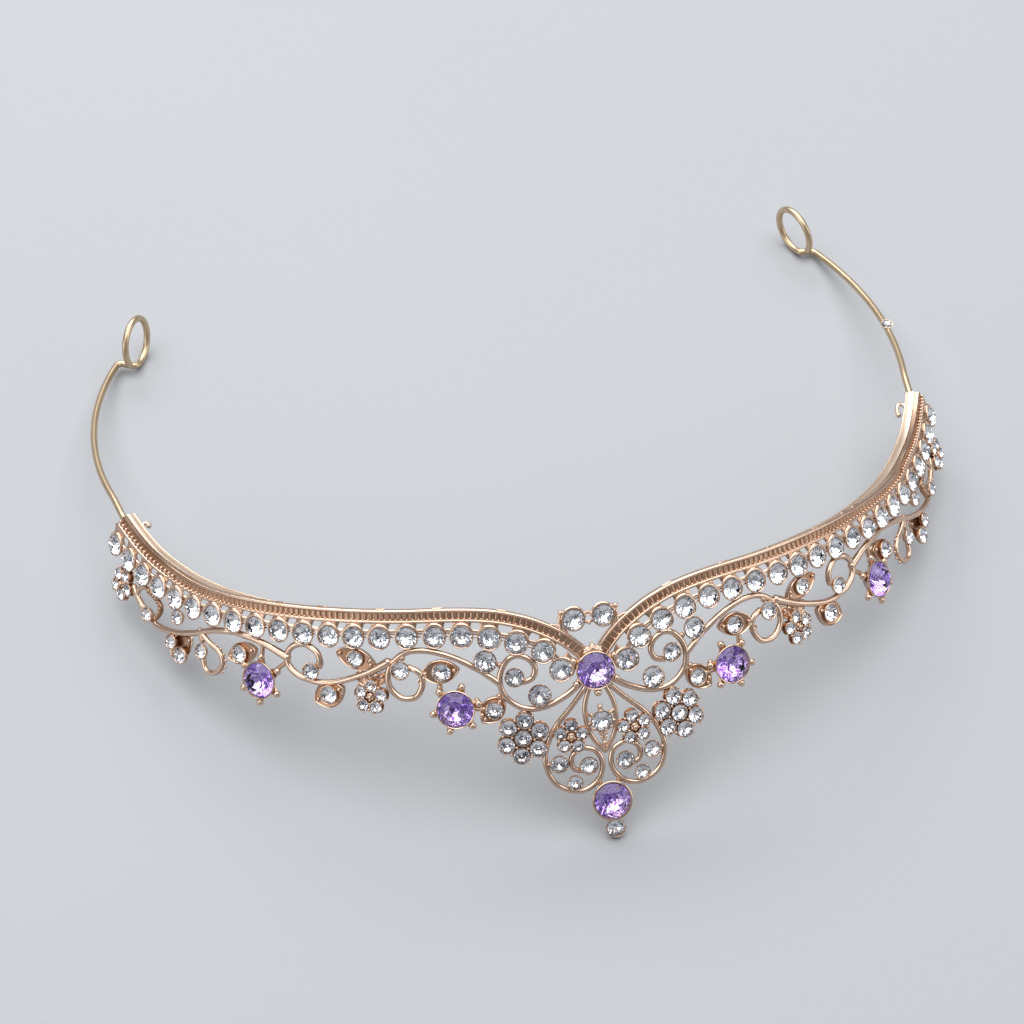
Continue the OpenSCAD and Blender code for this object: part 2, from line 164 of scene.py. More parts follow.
class Pile:
    # gathers closed surfaces into one piece; its finish reads tone, the painted shade, 0 on a lit ridge and 1
    # in a shaded hollow, run, the length along a wire, and side, the place across it
    def __init__(self):
        self.points, self.faces, self.looks, self.count = [], [], [], 0
        self.marks = {"tone": [], "run": [], "side": []}

    def add(self, points, faces, tone=0, run=0, side=0, looks=None):
        points = points.reshape(-1, 3)
        for group, look in zip(faces, looks or [0] * len(faces)):
            self.faces.append(group + self.count)
            self.looks.append(np.full(len(group), look))
        for title, value in (("tone", tone), ("run", run), ("side", side)):
            self.marks[title].append(np.resize(value, len(points)))
        self.points.append(points)
        self.count += len(points)

    def skin(self, rings, tone=0, run=0, side=0):
        # quads between neighbouring rings and a flat face at either end; a leading axis holds copies
        rows, columns = rings.shape[-3:-1]
        rings = rings.reshape(-1, rows, columns, 3)
        i, j = np.meshgrid(np.arange(rows - 1), np.arange(columns), indexing="ij")
        a, b = i * columns + j, i * columns + (j + 1) % columns
        quads = np.stack([a, b, b + columns, a + columns], -1).reshape(-1, 4)
        caps = np.stack([np.arange(columns)[::-1], (rows - 1) * columns + np.arange(columns)])
        offset = (np.arange(len(rings)) * rows * columns)[:, None, None]
        marks = [np.broadcast_to(value, rings.shape[:3]) for value in (tone, run, side)]
        self.add(rings, [(quads + offset).reshape(-1, 4), (caps + offset).reshape(-1, columns)], *marks)

    def build(self, name, finishes, nodes, slot, sharp=40):
        # puts the surfaces into one mesh in metres, and hides the solids it stands for
        points = np.concatenate(self.points) / 1000
        corners = np.concatenate([group.ravel() for group in self.faces])
        totals = np.concatenate([np.full(len(group), group.shape[1]) for group in self.faces])
        mesh = bpy.data.meshes.new(name)
        mesh.vertices.add(len(points))
        mesh.vertices.foreach_set("co", points.ravel().astype(np.float32))
        mesh.loops.add(len(corners))
        mesh.loops.foreach_set("vertex_index", corners.astype(np.int32))
        mesh.polygons.add(len(totals))
        mesh.polygons.foreach_set("loop_start", (np.cumsum(totals) - totals).astype(np.int32))
        mesh.polygons.foreach_set("material_index", np.concatenate(self.looks).astype(np.int32))
        mesh.polygons.foreach_set("use_smooth", np.full(len(totals), sharp > 0))
        for title, store in self.marks.items():
            mark = mesh.attributes.new(title, "FLOAT", "POINT")
            mark.data.foreach_set("value", np.concatenate(store).astype(np.float32))
        mesh.update(calc_edges=True)
        mesh.validate()
        if sharp > 0:
            mesh.set_sharp_from_angle(angle=math.radians(sharp))
        piece = put(name, mesh)
        for finish in finishes:
            mesh.materials.append(finish)
        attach(piece, "root")
        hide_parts(*nodes)


def axesOf(path, out):
    # direction of travel, side = out x direction, face = direction x side
    direction = unit(np.gradient(path, axis=0))
    side = unit(np.cross(out, direction))
    return direction, side, np.cross(direction, side)


# latitudes in degrees of the rings of a rounded end and of a ball
endRings, ballRings = [28, 54, 76, 88], [-84, -52, -18, 18, 52, 84]


def sweep(pile, path, out, profile, wide=1, deep=1, rounded=0, tone=0):
    # ring i, point j = path[i] + wide[i] profile[j].x side[i] + deep[i] profile[j].y face[i];
    # a rounded end adds rings that shrink by cos a as they move on by rounded * sin a
    direction, side, face = axesOf(path, out)
    wide, deep = (np.broadcast_to(size, len(path)).astype(float) for size in (wide, deep))
    run = lengthAlong(path)
    if rounded > 0:
        shift, shrink = rounded * np.sin(np.radians(endRings)), np.cos(np.radians(endRings))
        held = np.clip(np.arange(-len(shift), len(path) + len(shift)), 0, len(path) - 1)
        path = np.vstack([path[0] - direction[0] * shift[::-1, None], path,
                          path[-1] + direction[-1] * shift[:, None]])
        side, face, run = side[held], face[held], run[held]
        wide, deep = (np.concatenate([size[0] * shrink[::-1], size, size[-1] * shrink])
                      for size in (wide, deep))
    rings = (path[:, None] + (wide[:, None] * profile[:, 0])[..., None] * side[:, None]
             + (deep[:, None] * profile[:, 1])[..., None] * face[:, None])
    pile.skin(rings, tone, run[:, None], profile[:, 0])


def chartSweep(pile, line, profile, w=0, **more):
    # carries a profile along a line of chart points
    sweep(pile, sheet(line[:, 0], line[:, 1], w), outward(line[:, 0]), profile, **more)


def lathe(steps, outline):
    # ring i = the outline times the reach of step i, at the height of step i
    steps = np.asarray(steps, float)
    flat = steps[:, None, :1] * outline
    return np.concatenate([flat, np.broadcast_to(steps[:, None, 1:], flat.shape[:2] + (1,))], -1)


def dish(pile, u, y, steps, outline, tone=0):
    pile.skin(spot(u, y, lathe(steps, outline)), tone)


def beads(pile, centres, radius, columns=8, tone=0):
    # balls: the ring at latitude a has radius r cos a and stands r sin a off the centre
    ball = lathe(onCircle(np.radians(ballRings)), circle(columns))
    centres = np.asarray(centres, float).reshape(-1, 3)
    radius = np.broadcast_to(radius, len(centres))
    pile.skin(centres[:, None, None] + radius[:, None, None, None] * ball, tone)


def chartBeads(pile, table, radius, w=0, columns=8, tone=0):
    table = np.asarray(table, float).reshape(-1, 2)
    beads(pile, sheet(table[:, 0], table[:, 1], w), radius, columns, tone)


def bars(pile, starts, ends, w, radius, columns=8, tone=0):
    # straight round bars between pairs of chart points
    starts, ends = (np.asarray(places, float).reshape(-1, 2) for places in (starts, ends))
    a, b = (sheet(places[:, 0], places[:, 1], w) for places in (starts, ends))
    direction = unit(b - a)
    side = unit(np.cross(outward(starts[:, 0]), direction))
    face = np.cross(direction, side)
    ring = circle(columns, 1, 0.5)
    radius = np.broadcast_to(radius, len(a))[:, None, None, None]
    turned = ring[:, :1] * side[:, None, None] + ring[:, 1:] * face[:, None, None]
    pile.skin(np.stack([a, b], 1)[:, :, None] + radius * turned, tone)


class Signal:
    # one socket of a material; sums and products on signals add their Math nodes
    def __init__(self, finish, socket):
        self.finish, self.socket = finish, socket

    def __add__(self, other):
        return self.finish.maths("ADD", self, other)

    def __sub__(self, other):
        return self.finish.maths("SUBTRACT", self, other)

    def __rsub__(self, other):
        return self.finish.maths("SUBTRACT", other, self)

    def __mul__(self, other):
        return self.finish.maths("MULTIPLY", self, other)

    __radd__, __rmul__ = __add__, __mul__


class Finish:
    # one material: fixed values go on the shader's own sockets, and nodes feed the sockets that vary
    def __init__(self, name, fixed):
        self.material = bpy.data.materials.new(name)
        self.material.use_nodes = True
        self.tree = self.material.node_tree
        self.tree.nodes.clear()
        self.shader = self.tree.nodes.new("ShaderNodeBsdfPrincipled")
        output = self.tree.nodes.new("ShaderNodeOutputMaterial")
        self.tree.links.new(self.shader.outputs[0], output.inputs[0])
        for title, value in fixed.items():
            self.shader.inputs[title].default_value = value

    def feed(self, socket, value):
        if isinstance(value, Signal):
            self.tree.links.new(value.socket, socket)
        else:
            socket.default_value = value

    def node(self, kind, settings=None, sockets=None, outlet=0):
        made = self.tree.nodes.new("ShaderNode" + kind)
        for title, value in (settings or {}).items():
            setattr(made, title, value)
        for title, value in (sockets or {}).items():
            self.feed(made.inputs[title], value)
        return Signal(self, made.outputs[outlet])

    def maths(self, operation, a, b):
        return self.node("Math", {"operation": operation}, {0: a, 1: b})

    def mix(self, amount, a, b):
        return self.node("Mix", {"data_type": "RGBA"}, {0: amount, 6: a, 7: b}, 2)

    def attribute(self, title):
        return self.node("Attribute", {"attribute_name": title}, None, 2)

    def noise(self, scale, detail=2, vector=None):
        vector = vector or self.node("TexCoord", None, None, 3)
        return self.node("TexNoise", None, {"Vector": vector, "Scale": scale, "Detail": detail})

    def limited(self, value):
        return self.node("Clamp", None, {0: value})

    def bump(self, height, strength, depth):
        return self.node("Bump", None, {"Height": height, "Strength": strength, "Distance": depth})

    def surface(self, **fed):
        for title, value in fed.items():
            self.feed(self.shader.inputs[title.replace("_", " ")], value)
        return self.material


# ridge is the lit colour and hollow the painted shade colour of the cast metal; paintedShadeShare weighs the
# painted shade of the tone mark
castLook = {
    "ridge": (0.74, 0.54, 0.41, 1), "hollow": (0.29, 0.135, 0.062, 1), "paintedShadeShare": 0.85,
    "cloudScale": 260, "cloudShare": 0.5, "cloudMiddle": 0.45, "grainScale": 2600, "roughness": 0.15,
    "spread": 0.12, "bump": 0.35, "grainDepth": 0.00003}
wireLook = {"light": (0.7, 0.55, 0.37, 1), "dark": (0.44, 0.32, 0.2, 1), "roughness": 0.24}
stripLook = {"light": (0.76, 0.61, 0.48, 1), "dark": (0.58, 0.45, 0.35, 1), "roughness": 0.3}
scratchLook = {
    "alongScale": 0.06, "acrossScale": 9, "scale": 3, "cloudScale": 180, "spread": 0.16,
    "bump": 0.25, "depth": 0.00003}
glassLook = {"index": 1.56, "cloudScale": 500}
foilLook = {"cloudScale": 1500, "fleckFrom": 0.57, "fleckEdge": 14, "roughness": 0.03, "spread": 0.05}


def castGold(name, look):
    # cast rose gold: the hollow colour is painted shade, laid on where the tone mark says hollow and mixed
    # with random cloud patches; hollows are also duller
    f = Finish(name, {"Metallic": 1})
    hollow, cloud, grain = f.attribute("tone"), f.noise(look["cloudScale"]), f.noise(look["grainScale"], 3)
    # depth mixes the painted shade of the tone mark with random cloud patches
    depth = f.limited(look["paintedShadeShare"] * hollow + look["cloudShare"] * (cloud - look["cloudMiddle"]))
    rough = look["roughness"] + look["spread"] * grain + look["spread"] * hollow
    return f.surface(Base_Color=f.mix(depth, look["ridge"], look["hollow"]), Roughness=rough,
                     Normal=f.bump(grain + 0.5 * cloud, look["bump"], look["grainDepth"]))


def drawnGold(name, look):
    # drawn wire and rolled strip: fine scratches run lengthwise
    f = Finish(name, {"Metallic": 1})
    place = {0: scratchLook["alongScale"] * f.attribute("run"),
             1: scratchLook["acrossScale"] * f.attribute("side")}
    line = f.node("CombineXYZ", None, place)
    scratch, cloud = f.noise(scratchLook["scale"], 4, line), f.noise(scratchLook["cloudScale"], 3)
    depth = f.limited(0.8 * cloud + 0.5 * scratch - 0.2)
    return f.surface(Base_Color=f.mix(depth, look["light"], look["dark"]),
                     Roughness=look["roughness"] + scratchLook["spread"] * scratch,
                     Normal=f.bump(scratch, scratchLook["bump"], scratchLook["depth"]))


def cutGlass(name, tint, cloudTint):
    # clear or tinted glass, with a faint change of colour through it
    f = Finish(name, {"Transmission Weight": 1, "IOR": glassLook["index"], "Roughness": 0})
    return f.surface(Base_Color=f.mix(f.noise(glassLook["cloudScale"]), tint, cloudTint))


def mirrorFoil(name, tint, paintedDarkTint):
    # the foil behind a stone, with painted dark flecks where the noise is high, standing in for dark
    # surroundings reflected in the stone
    f = Finish(name, {"Metallic": 1})
    cloud = f.noise(foilLook["cloudScale"], 1)
    paintedDarkFleck = f.limited(foilLook["fleckEdge"] * (cloud - foilLook["fleckFrom"]))
    rough = foilLook["roughness"] + foilLook["spread"] * cloud
    return f.surface(Base_Color=f.mix(paintedDarkFleck, tint, paintedDarkTint), Roughness=rough)


roseGold = castGold("rose_gold_cast", castLook)
stripGold = drawnGold("pale_gold_strip", stripLook)
wireGold = drawnGold("pale_gold_wire", wireLook)
# the second colour of each foil is its painted dark reflection
clearLook = [cutGlass("white_stone_glass", (0.99, 0.99, 1, 1), (0.94, 0.96, 1, 1)),
             mirrorFoil("white_stone_foil", (0.99, 0.99, 1, 1), (0.3, 0.32, 0.36, 1))]
violetLook = [cutGlass("violet_stone_glass", (0.9, 0.84, 1, 1), (0.86, 0.78, 1, 1)),
              mirrorFoil("violet_stone_foil", (0.76, 0.62, 0.97, 1), (0.26, 0.12, 0.46, 1))]
print("finishes made")


def castPiece(pile, name):
    # a piece of the cast front
    pile.build(name, [roseGold], ["frame"], "rose_gold")
    print(name, "made")


# the plan: chart places of the right half in mm; a stone is [u, y, radius]
bandLine = [
    [0.8, 13.9], [2.6, 15.9], [5, 18], [8.4, 20], [12, 21.5], [17, 22.7], [24, 23.2], [34, 23], [44, 22.8],
    [56, 22.5], [68, 22.3], [75, 22.6], [81, 23.6], [87, 25], [92, 26.8], [97, 29]]
rowPlaces = [
    [5.7, 12.6], [8.4, 15.9], [12.8, 17.8], [17.3, 18.9], [22, 19.5], [26.7, 19.6], [31.6, 19.5],
    [36.5, 19.3], [41.2, 19.2], [45.9, 19.1], [50.8, 19], [55.7, 18.9], [60.6, 18.8], [65.5, 18.8],
    [70.4, 18.9], [75.2, 19.1], [79.8, 19.7], [84.4, 20.5], [89, 21.5], [93.5, 22.9], [97.9, 24.5]]
rowRadius = 1.7
singleRows = {
    "scroll": [[18.3, 15.2, 1.7], [13.6, 12.2, 1.4], [9.7, 8.8, 1.7]],
    "leaf": [[17.4, 7, 1.3], [25.8, 13.7, 1.4], [41, 15.6, 1.25], [45.9, 9.2, 1.4], [63.9, 13.6, 1.35]],
    "curl": [[33, 14, 1.4], [49.3, 12.8, 1.3], [72.7, 12.2, 1.15]]}
singles = {f"{kind}_stone_{k + 1}": row for kind, rows in singleRows.items() for k, row in enumerate(rows)}
fan = [[7.7, -3, 1.3], [3, -3.9, 1.35], [5.5, -6.4, 1.1]]
vinePair = [[78.9, 16.7, 1.15], [87, 15.1, 1.1]]
hangingPair = [[77.7, 10.3, 1.3], [80.2, 12.1, 1.1]]
sideStones = [*singles.values(), *fan, *vinePair, *hangingPair]
marquiseStone, dropStone, topStone = [0, 3.2, 1.6], [0, -14.9, 1.4], [2.6, 20.6, 1.65]
# rings of stones, [u, y, angle of the first, kind]; a kind has its count, reach and stone radius, and its
# plate's lobe radius, back and front
rounds = {
    "cluster": [13.1, 1.95, 40, "cluster"], "flower_1": [5.3, 1.3, 96, "flower"],
    "flower_2": [38.4, 9.4, 97, "flower"], "flower_3": [95, 18.4, 54, "flower"]}
roundKinds = {"cluster": [6, 2.95, 1.35, 1.55, -0.78, -0.52], "flower": [5, 1.9, 1, 1.2, -0.55, -0.26]}
# [u, y, angle of the first ball]
violets = {"violet_1": [23.8, 7.5, 48], "violet_2": [59.3, 10, 30]}
mainPlace, pendantPlace = [0, 11.8], [0, -10.2]
violetRadius, violetRise, seatRise = 2.95, 0.95, 0.6
wires = {
    "big_scroll": [[2, 10.6], [5.2, 8.3], [9.4, 6.7], [13, 7.1], [15.6, 9.4], [16.1, 12.4], [14.7, 15],
        [12.7, 15.7], [10.8, 14.8], [10.05, 13.3], [10.6, 11.8], [12.2, 11.2]],
    "vine_2": [[16.1, 11.2], [19, 13.4], [23.2, 15.8], [28, 17.2], [32, 16.9], [34.8, 14.6], [35.2, 11.6],
        [33.2, 9.4], [30.6, 9.5], [29.3, 11.6], [29.8, 13.6], [31.6, 14.4]],
    "vine_3": [[35, 15.3], [39.5, 13.1], [45.6, 11.2], [50.2, 11.3], [53.3, 12.7], [54.2, 14.8], [53, 16.6],
        [50.6, 17.1], [48.4, 16.1], [47.7, 14.5], [47.9, 13.7]],
    "vine_4": [[54, 14.5], [59.2, 16.2], [64.6, 16.9], [70, 16.4], [75.4, 14.7], [80.3, 13.7], [85.3, 13.9],
        [89, 16], [92.2, 18.6]],
    "drop_curl": [[73.4, 15.4], [71.2, 14], [68.9, 13], [67.9, 11.2], [69.4, 9.2], [71.6, 9.1], [72.5, 10.8]],
    "fan_lobe": [[1.2, 10], [4.4, 6.5], [7.4, 3.5], [9.2, 0.6], [9.9, -2.5], [9, -5.7], [6.8, -7.5],
        [4, -7.9], [1.6, -6.4], [0.7, -3.9], [1.5, -1.7], [3.7, -0.9], [5.5, -2], [5.6, -3.9], [4.4, -4.6]],
    "almond": [[0.9, 9.8], [2.4, 6.2], [2.4, 2.8], [1.5, 0.1], [0, -1.9]]}
# [u, y, half length, half width, angle]
leaves = [
    [17.7, 7, 3, 2.1, 133], [26.2, 13.7, 3.5, 2.1, -6], [41, 15.6, 3.9, 1.9, 18], [46, 9.2, 3.2, 2.4, 152],
    [63.6, 13.7, 3.4, 2, -22], [78.5, 11.5, 3.6, 2.1, 141]]


def withRadius(places, radius):
    return np.c_[places, np.full(len(places), radius)]


def roundStones(title, side):
    # the stones of a ring, and a cluster has one more in its middle
    u, y, start, kind = rounds[title]
    count, reach, radius = roundKinds[kind][:3]
    places = np.array([u, y]) + circle(count, reach, start * count / 360)
    places = np.vstack([[[u, y]], places]) if kind == "cluster" else places
    return mirrored(withRadius(places, radius), side)


whiteStones = {"row": withRadius(rowPlaces, rowRadius), "fan_stones": fan, "vine_stones": vinePair,
               "leaf_pair": hangingPair, **{title: [place] for title, place in singles.items()},
               **{title: roundStones(title, 1) for title in rounds}}


# a rim is [place across the band, half width, rise], and a row of grains on the left or right half is
# [place across the band, first u, last u, step, radius, height]
band = {
    "low": -1.3, "high": 1.05, "back": -0.62, "step": 0.11, "columns": 34, "evenShare": 0.6, "floor": 0.12,
    "pitch": 1.01, "ribDepth": 0.17, "ribShare": 0.6, "channel": [-0.7, 0.44], "channelEdge": 0.08,
    "topRim": [0.72, 0.32, 0.38], "lowRim": [-1, 0.31, 0.4], "sinkFrom": 68, "sinkOver": 16,
    "grains": {-1: [[-0.72, 3, 82, 1.01, 0.26, 0.24], [-0.2, 80, 99, 1.06, 0.27, 0.24]],
               1: [[-0.72, 3, 80, 1.01, 0.26, 0.24], [-0.25, 78, 99, 0.8, 0.25, 0.32]]},
    "nubs": [15, 26, 36.4, 47.4, 55.5, 58.9], "nubRadius": 0.19, "archFrom": 4.4, "archTo": 7.2,
    "archRadius": 0.17}


def ribbedBand(pile, side):
    # the face, floor + ribDepth (0.6 sin(pi s / pitch)^2 + 0.4 sin(2 pi s / pitch)^2 - 0.35), has ribs with
    # grooved crests between two round rims, rise sqrt(1 - (v - middle)^2 / half^2)
    line = even(smooth(mirrored(bandLine, side), 12), band["step"])[::side]
    path, out = sheet(line[:, 0], line[:, 1]), outward(line[:, 0])
    up, face = axesOf(path, out)[1:]
    run = lengthAlong(path)
    run = run if side > 0 else run[-1] - run
    low, high, columns, share = (band[title] for title in ("low", "high", "columns", "evenShare"))
    v = 0.5 * (low + high) + 0.5 * (high - low) * np.sin(np.linspace(-0.5, 0.5, columns) * math.pi)
    v = (1 - share) * v + share * np.linspace(low, high, columns)
    start, end = band["channel"]
    window = np.clip((v - start) / band["channelEdge"], 0, 1) * np.clip((end - v) / band["channelEdge"], 0, 1)
    beat, share = math.pi * run / band["pitch"], band["ribShare"]
    ribs = (share * np.sin(beat) ** 2 + (1 - share) * np.sin(2 * beat) ** 2)[:, None]
    front = band["floor"] + band["ribDepth"] * (ribs - 0.35) * window
    # painted shade: the rib valleys and the channel are darker than the crests
    tone = 0.35 + window * (0.15 + 0.45 * (1 - ribs))
    # toward the end the top rim sinks behind the strip, and its crest is painted in shade as it sinks
    sunk = np.clip((np.abs(line[:, 0]) - band["sinkFrom"]) / band["sinkOver"], 0, 1)[:, None]
    for (middle, half, rise), sink in ((band["topRim"], sunk), (band["lowRim"], 0 * sunk)):
        rim = np.sqrt(np.clip(1 - ((v - middle) / half) ** 2, 0, None))
        front = np.maximum(front, band["floor"] + rise * rim * (1 - 0.8 * sink) - 0.04 * (rim == 0))
        # painted shade on the rims: crests are light, flanks dark
        tone = np.where(rim > 0.35, sink, np.where(rim > 0, 0.9, tone))
    behind = np.linspace(low, high, 6)
    backPoints = path[:, None] + behind[None, :, None] * up[:, None] + band["back"] * face[:, None]
    frontPoints = path[:, None] + v[::-1][None, :, None] * up[:, None] + front[:, ::-1, None] * face[:, None]
    # the back is painted at half shade
    tones = np.concatenate([np.full((len(path), 6), 0.5), np.broadcast_to(tone, front.shape)[:, ::-1]], 1)
    pile.skin(np.concatenate([backPoints, frontPoints], 1), tones)
    for offset, first, last, step, size, height in band["grains"][side]:
        grains = even(line[::side], step)
        grains = grains[(np.abs(grains[:, 0]) > first) & (np.abs(grains[:, 0]) < last)]
        way = unit(np.gradient(grains, axis=0)) * side
        # the grains grow by a third toward the ends
        size = size * (1 + np.clip((np.abs(grains[:, 0]) - 50) / 60, 0, 0.33))
        chartBeads(pile, grains + offset * np.stack([-way[:, 1], way[:, 0]], -1), size, height)
    # small nubs on the top edge, and a thin wire above it near the centre
    away = np.abs(line[:, 0])
    for u in band["nubs"]:
        k = np.argmin(np.abs(away - u))
        near = slice(k - 7, k + 8, 2)
        nub = (path + 1.13 * up + 0.2 * face)[near]
        sweep(pile, nub, out[near], circle(8, band["nubRadius"]), rounded=0.2)
    near = (away > band["archFrom"]) & (away < band["archTo"])
    arch = 1.05 + 0.4 * np.sin(np.linspace(0, math.pi, near.sum()))[:, None]
    sweep(pile, (path + 0.15 * face)[near][::3] + (arch * up[near])[::3], out[near][::3],
          circle(8, band["archRadius"]), rounded=0.15)


pile = Pile()
for side in (-1, 1):
    ribbedBand(pile, side)
castPiece(pile, "ribbed_band")

cutShape = {"table": 0.58, "tableRise": 0.37, "star": 0.8, "girdle": 0.035, "depth": 0.72, "waist": 0.42}
# cup tones are painted shade, ring by ring from the foot: dark at the foot and in the seat under the stone,
# light on the rim
cup = {"columns": 26, "rim": 0.24, "foot": 0.62, "skin": 0.15, "clawRadius": 0.17,
       "tones": [0.9, 0.9, 0.8, 0.35, 0, 0, 0, 0.3, 0.8, 1, 1, 1]}


def bowl(r, rise):
    # the inside of a seat, under the stone's foiled back: at reach x r it stands at
    # rise - r (girdle + depth (1 - x)) - 0.06 - 0.05 r
    return [[x * r, rise - r * (cutShape["girdle"] + cutShape["depth"] * (1 - x)) - 0.06 - 0.05 * r]
            for x in (0.88, 0.45, 0.1)]


def roundCup(pile, u, y, r, depth=0.5, wall=cup["rim"]):
    # a flared cup with a thin rolled rim round the stone, deep enough to close below its bowl
    rise, hollow, foot = seatRise, bowl(r, seatRise), cup["foot"] * r
    depth = max(depth, cup["skin"] - hollow[-1][1])
    steps = [[foot, -depth], [foot + 0.12, -depth + 0.06], [r + wall - 0.14, rise - 0.55],
             [r + wall - 0.02, rise - 0.16], [r + wall, rise - 0.02], [r + wall - 0.05, rise + 0.06],
             [r + wall - 0.13, rise + 0.08], [r + 0.035, rise + 0.02], [r + 0.02, rise - 0.1], *hollow]
    dish(pile, u, y, steps, circle(cup["columns"]), np.array(cup["tones"])[:, None])


def claws(pile, u, y, r, start):
    # four small rounded claws that lean over the girdle
    tips = (r + 0.1) * circle(4, 1, start / 90)
    local = np.concatenate([tips, np.full((4, 1), seatRise + 0.1)], -1)
    beads(pile, spot(u, y, local), cup["clawRadius"], 7)


# a rail is [distance from the cups' middle line, radius]; lean and reach are those of each tab
row = {"wall": 0.28, "rails": [[1.1, 0.27], [0.6, 0.14], [0.12, 0.14]], "collar": 0.41, "tabTop": 1.75,
       "tabFoot": 1.6, "lean": [60] + [30] * 2 + [4] * 14 + [14] * 4, "reach": [2.75] * 19 + [3.3] * 2,
       "tab": np.array([[-1, -0.2], [-0.8, -0.26], [0.8, -0.26], [1, -0.2], [1, 0.06], [0.86, 0.16],
                        [0.5, 0.24], [0, 0.27], [-0.5, 0.24], [-0.86, 0.16], [-1, 0.06]])}


def rowCups(pile, side):
    places = mirrored(rowPlaces, side)
    for (u, y), lean, reach in zip(places, row["lean"], row["reach"]):
        roundCup(pile, u, y, rowRadius, wall=row["wall"])
        # the tab climbs from the cup's back to the band and fans out to meet it
        lean = math.radians(side * lean)
        steps = np.linspace(rowRadius + 0.02, reach, 7)
        middle = np.array([u, y]) + steps[:, None] * np.array([-math.sin(lean), math.cos(lean)])
        t = (steps - 0.9) / (reach - 0.9)
        width = row["tabFoot"] + (row["tabTop"] - row["tabFoot"]) * t ** 2 - 0.16 * np.sin(math.pi * t)
        # painted shade darkens the tab toward its edges
        tone = 0.15 + 0.6 * np.abs(row["tab"][:, 0]) ** 3
        chartSweep(pile, middle, row["tab"], 0.3 - 0.34 * t, wide=width, tone=tone)
        # a bright collar along the cup's upper rim, thickest at its top
        a = np.radians(np.linspace(-62, 62, 15))
        local = np.stack([np.sin(a - lean), np.cos(a - lean), 0.21 + 0 * a], -1)
        path = spot(u, y, (rowRadius + 0.36) * local)
        thick = row["collar"] * (0.3 + 0.7 * np.cos(a * 1.35) ** 2)
        sweep(pile, path, outward(u), circle(10), wide=thick, deep=thick, rounded=0.1)
    # rails join each cup to the next
    a, b = places[:-1], places[1:]
    way = unit(b - a)
    up = np.stack([-way[:, 1], way[:, 0]], -1) * side
    for offset, size in row["rails"]:
        reach = math.sqrt((rowRadius + cup["rim"]) ** 2 - offset ** 2) - 0.15
        bars(pile, a + reach * way + offset * up, b - reach * way + offset * up, 0.15, size)


pile = Pile()
for side in (-1, 1):
    rowCups(pile, side)
    for u, y, r in sideStones:
        roundCup(pile, side * u, y, r)
        claws(pile, side * u, y, r, 45 + 30 * chance.random())
roundCup(pile, *marquiseStone)
roundCup(pile, *dropStone, 0.96)
for side in (-1, 1):
    roundCup(pile, side * topStone[0], *topStone[1:], wall=0.3)
castPiece(pile, "stone_cups")

# swell is [extra share of the radius at the wire's start, share of its length over which it fades]
scroll = {
    "radius": {"big_scroll": 0.5, "vine_2": 0.52, "vine_3": 0.54, "vine_4": 0.54, "drop_curl": 0.46,
               "fan_lobe": 0.46, "almond": 0.42},
    "swell": {"vine_3": [0.45, 0.12], "vine_4": [0.25, 0.1], "big_scroll": [0.15, 0.2]},
    "step": 0.35, "columns": 14, "dip": 0.85, "gap": 0.1}
# joints are short bars [u, y, u, y], and solder sits where scrolls, cups and clusters meet
joints = [
    [12.6, 6.9, 12.6, 6.2], [38.6, 13.6, 38.4, 12.4], [59.3, 13.4, 59.2, 16.2], [54.1, 13.8, 56.6, 11.8],
    [9.1, -3, 9.8, -3], [1.7, -6.4, 1.2, -8.4], [72.9, 14, 73.6, 15.6], [21.2, 7.4, 19.2, 7.2],
    [26.1, 9.8, 26.4, 12.4]]
solder = [
    [16, 14.4], [10.8, 14.8], [16.5, 9.2], [10.8, 6.6], [12.6, 6.2], [26.4, 11.1], [32.6, 16], [20.2, 8.7],
    [19.5, 6.2], [38.4, 15.3], [37.4, 12.9], [54.2, 14.2], [48, 14.2], [60.6, 16.6], [88.6, 15.9]]
curlGrains = [[69.4, 13.9], [68.4, 13.5], [67.6, 12.7], [67.2, 11.7], [67.2, 10.6], [67.8, 9.6]]
# every stone of the right half and the middle: u, y, radius, height of its girdle
stonePlaces = np.array([[*place, seatRise]
                        for table in (*whiteStones.values(), [marquiseStone]) for place in table]
                       + [[*place[:2], violetRadius, violetRise]
                          for place in [*violets.values(), mainPlace, pendantPlace]])


def underStones(line, radius):
    # how far back a wire lies to pass below stones nearer than r + wire to it:
    # rise - r girdle - depth (r + wire - distance) - wire - gap
    u, y, r, rise = stonePlaces.T
    under = r + radius - np.hypot(np.abs(line[:, :1]) - u, line[:, 1:] - y)
    back = rise - r * cutShape["girdle"] - cutShape["depth"] * under
    limit = np.where(under > 0, back - radius - scroll["gap"], 0)
    return eased(np.clip(limit.min(1), -scroll["dip"], 0), 2)


def scrollWire(pile, points, radius, swell):
    # a round wire along the chart curve, a little flatter than wide: radius (1 + extra e^-(t / share)^2)
    line = even(smooth(points, 12), scroll["step"])
    t = np.linspace(0, 1, len(line))
    size = radius * (1 + swell[0] * np.exp(-(t / swell[1]) ** 2))
    ring = circle(scroll["columns"])
    # painted shade: the wire is light where it faces out of the sheet and darkens round its sides and back
    chartSweep(pile, line, ring, underStones(line, radius), wide=size, deep=size * 0.95,
               rounded=radius * 0.9, tone=np.clip(0.8 - ring[:, 1], 0, 0.9))


